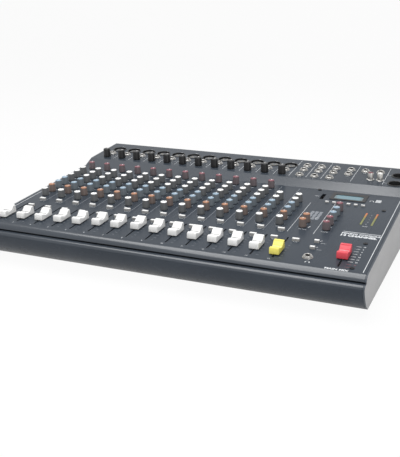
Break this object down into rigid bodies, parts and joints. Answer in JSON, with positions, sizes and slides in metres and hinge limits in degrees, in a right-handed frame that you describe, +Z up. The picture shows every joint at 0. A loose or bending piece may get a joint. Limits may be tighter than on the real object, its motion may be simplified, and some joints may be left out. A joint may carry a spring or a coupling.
{
  "type": "audio mixing console",
  "caption": "Desktop audio mixing console: sloping panel of knobs, buttons and long-throw faders, raised connector panel at the back, grey metal casing.",
  "frame": {"origin": "middle of the footprint, on the surface that the feet stand on", "axes": "+X to the right of the operator, +Y to the rear, +Z up"},
  "size_m": [0.5066, 0.3724, 0.0939],
  "materials": {
    "casing_paint": "semi-gloss dark blue-grey paint",
    "cheek_paint": "satin light grey paint",
    "foot_rubber": "matt black rubber",
    "black_steel": "black zinc",
    "circuit_board": "green solder mask",
    "plain_steel": "plain",
    "black_plastic": "moulded",
    "chrome_ring": "polished",
    "display_glass": "tinted window",
    "lamp_lens": "coloured lamp lens",
    "white_cap": "satin white",
    "yellow_cap": "satin yellow",
    "red_cap": "satin red",
    "grey_knob": "moulded grey with a coloured top",
    "white_button": "satin white"
  },
  "bodies": {
    "root": {"base_pan": "cheek_paint", "board_standoffs": "plain_steel", "channel_buttons": "white_button", "channel_knobs": "grey_knob", "connector_board": "circuit_board", "control_board": "circuit_board", "display_buttons": "white_button", "display_module": "black_plastic", "display_window": "display_glass", "fader_housings": "plain_steel", "feet": "foot_rubber", "front_rail": "casing_paint", "jack_nuts": "chrome_ring", "jack_sockets": "black_plastic", "left_cheek": "cheek_paint", "mains_inlet": "black_plastic", "media_socket": "black_plastic", "meter_leds": "lamp_lens", "mic_sockets": "black_plastic", "output_sockets": "black_plastic", "phono_sockets": "chrome_ring", "pot_bodies": "plain_steel", "power_supply": "circuit_board", "rear_panel": "casing_paint", "right_cheek": "cheek_paint", "screws": "black_steel", "switch_bodies": "black_plastic", "top_cover": "casing_paint", "trim_knobs": "black_plastic"},
    "fader_01": {"fader_01": "white_cap"},
    "fader_02": {"fader_02": "white_cap"},
    "fader_03": {"fader_03": "white_cap"},
    "fader_04": {"fader_04": "white_cap"},
    "fader_05": {"fader_05": "white_cap"},
    "fader_06": {"fader_06": "white_cap"},
    "fader_07": {"fader_07": "white_cap"},
    "fader_08": {"fader_08": "white_cap"},
    "fader_09": {"fader_09": "white_cap"},
    "fader_10": {"fader_10": "white_cap"},
    "fader_11": {"fader_11": "white_cap"},
    "fader_12": {"fader_12": "white_cap"},
    "fader_13": {"fader_13": "white_cap"},
    "fader_14": {"fader_14": "white_cap"},
    "fader_15": {"fader_15": "yellow_cap"},
    "main_fader": {"main_fader": "red_cap"},
    "gain_knob_01": {"gain_knob_01": "grey_knob"},
    "pan_knob_01": {"pan_knob_01": "grey_knob"},
    "trim_knob_01": {"trim_knob_01": "black_plastic"},
    "master_knob_1": {"master_knob_1": "grey_knob"},
    "master_knob_2": {"master_knob_2": "grey_knob"},
    "master_knob_3": {"master_knob_3": "grey_knob"},
    "master_knob_4": {"master_knob_4": "grey_knob"},
    "master_knob_5": {"master_knob_5": "grey_knob"},
    "effects_knob_1": {"effects_knob_1": "grey_knob"},
    "effects_knob_2": {"effects_knob_2": "grey_knob"},
    "mute_button_01": {"mute_button_01": "white_button"},
    "source_button_1": {"source_button_1": "white_button"},
    "source_button_2": {"source_button_2": "white_button"},
    "display_button_1": {"display_button_1": "white_button"},
    "power_rocker": {"power_rocker": "black_plastic"}
  },
  "joints": [
    {"name": "fader_01_slide", "type": "slide", "parent": "root", "child": "fader_01", "axis": [0, 0.997, 0.0771], "range_m": [-0.015, 0.045]},
    {"name": "fader_02_slide", "type": "slide", "parent": "root", "child": "fader_02", "axis": [0, 0.997, 0.0771], "range_m": [-0.018, 0.042]},
    {"name": "fader_03_slide", "type": "slide", "parent": "root", "child": "fader_03", "axis": [0, 0.997, 0.0771], "range_m": [-0.02, 0.04]},
    {"name": "fader_04_slide", "type": "slide", "parent": "root", "child": "fader_04", "axis": [0, 0.997, 0.0771], "range_m": [-0.023, 0.037]},
    {"name": "fader_05_slide", "type": "slide", "parent": "root", "child": "fader_05", "axis": [0, 0.997, 0.0771], "range_m": [-0.025, 0.035]},
    {"name": "fader_06_slide", "type": "slide", "parent": "root", "child": "fader_06", "axis": [0, 0.997, 0.0771], "range_m": [-0.029, 0.031]},
    {"name": "fader_07_slide", "type": "slide", "parent": "root", "child": "fader_07", "axis": [0, 0.997, 0.0771], "range_m": [-0.03, 0.03]},
    {"name": "fader_08_slide", "type": "slide", "parent": "root", "child": "fader_08", "axis": [0, 0.997, 0.0771], "range_m": [-0.033, 0.027]},
    {"name": "fader_09_slide", "type": "slide", "parent": "root", "child": "fader_09", "axis": [0, 0.997, 0.0771], "range_m": [-0.031, 0.029]},
    {"name": "fader_10_slide", "type": "slide", "parent": "root", "child": "fader_10", "axis": [0, 0.997, 0.0771], "range_m": [-0.029, 0.031]},
    {"name": "fader_11_slide", "type": "slide", "parent": "root", "child": "fader_11", "axis": [0, 0.997, 0.0771], "range_m": [-0.027, 0.033]},
    {"name": "fader_12_slide", "type": "slide", "parent": "root", "child": "fader_12", "axis": [0, 0.997, 0.0771], "range_m": [-0.026, 0.034]},
    {"name": "fader_13_slide", "type": "slide", "parent": "root", "child": "fader_13", "axis": [0, 0.997, 0.0771], "range_m": [-0.024, 0.036]},
    {"name": "fader_14_slide", "type": "slide", "parent": "root", "child": "fader_14", "axis": [0, 0.997, 0.0771], "range_m": [-0.023, 0.037]},
    {"name": "fader_15_slide", "type": "slide", "parent": "root", "child": "fader_15", "axis": [0, 0.997, 0.0771], "range_m": [-0.016, 0.044]},
    {"name": "main_fader_slide", "type": "slide", "parent": "root", "child": "main_fader", "axis": [0, 0.997, 0.0771], "range_m": [-0.029, 0.031]},
    {"name": "gain_knob_01_turn", "type": "hinge", "parent": "root", "child": "gain_knob_01", "pos_m": [-0.2323, 0.0699, 0.07418], "axis": [0, -0.0771, 0.997], "range_deg": [-150, 150]},
    {"name": "pan_knob_01_turn", "type": "hinge", "parent": "root", "child": "pan_knob_01", "pos_m": [-0.2323, -0.04326, 0.06543], "axis": [0, -0.0771, 0.997], "range_deg": [-150, 150]},
    {"name": "trim_knob_01_turn", "type": "hinge", "parent": "root", "child": "trim_knob_01", "pos_m": [-0.2311, 0.11576, 0.08499], "axis": [0, -0.0955, 0.9954], "range_deg": [-150, 150]},
    {"name": "master_knob_1_turn", "type": "hinge", "parent": "root", "child": "master_knob_1", "pos_m": [0.1787, -0.06061, 0.06409], "axis": [0, -0.0771, 0.997], "range_deg": [-150, 150]},
    {"name": "master_knob_2_turn", "type": "hinge", "parent": "root", "child": "master_knob_2", "pos_m": [0.1787, -0.04326, 0.06543], "axis": [0, -0.0771, 0.997], "range_deg": [-150, 150]},
    {"name": "master_knob_3_turn", "type": "hinge", "parent": "root", "child": "master_knob_3", "pos_m": [0.1787, -0.02591, 0.06677], "axis": [0, -0.0771, 0.997], "range_deg": [-150, 150]},
    {"name": "master_knob_4_turn", "type": "hinge", "parent": "root", "child": "master_knob_4", "pos_m": [0.1787, -0.00856, 0.06811], "axis": [0, -0.0771, 0.997], "range_deg": [-150, 150]},
    {"name": "master_knob_5_turn", "type": "hinge", "parent": "root", "child": "master_knob_5", "pos_m": [0.1787, 0.00878, 0.06945], "axis": [0, -0.0771, 0.997], "range_deg": [-150, 150]},
    {"name": "effects_knob_1_turn", "type": "hinge", "parent": "root", "child": "effects_knob_1", "pos_m": [0.1487, -0.06061, 0.06409], "axis": [0, -0.0771, 0.997], "range_deg": [-150, 150]},
    {"name": "effects_knob_2_turn", "type": "hinge", "parent": "root", "child": "effects_knob_2", "pos_m": [0.1487, -0.04326, 0.06543], "axis": [0, -0.0771, 0.997], "range_deg": [-150, 150]},
    {"name": "mute_button_01_press", "type": "slide", "parent": "root", "child": "mute_button_01", "axis": [0, 0.0771, -0.997], "range_m": [0, 0.0015], "stiffness_N_per_m": 400, "springref_m": -0.0005},
    {"name": "source_button_1_press", "type": "slide", "parent": "root", "child": "source_button_1", "axis": [0, 0.0771, -0.997], "range_m": [0, 0.0015], "stiffness_N_per_m": 400, "springref_m": -0.0005},
    {"name": "source_button_2_press", "type": "slide", "parent": "root", "child": "source_button_2", "axis": [0, 0.0771, -0.997], "range_m": [0, 0.0015], "stiffness_N_per_m": 400, "springref_m": -0.0005},
    {"name": "display_button_1_press", "type": "slide", "parent": "root", "child": "display_button_1", "axis": [0, 0.0771, -0.997], "range_m": [0, 0.0015], "stiffness_N_per_m": 400, "springref_m": -0.0005},
    {"name": "power_rocker_tilt", "type": "hinge", "parent": "root", "child": "power_rocker", "pos_m": [-0.13, 0.1804, 0.04], "axis": [1, 0, 0], "range_deg": [-20, 0]}
  ]
}
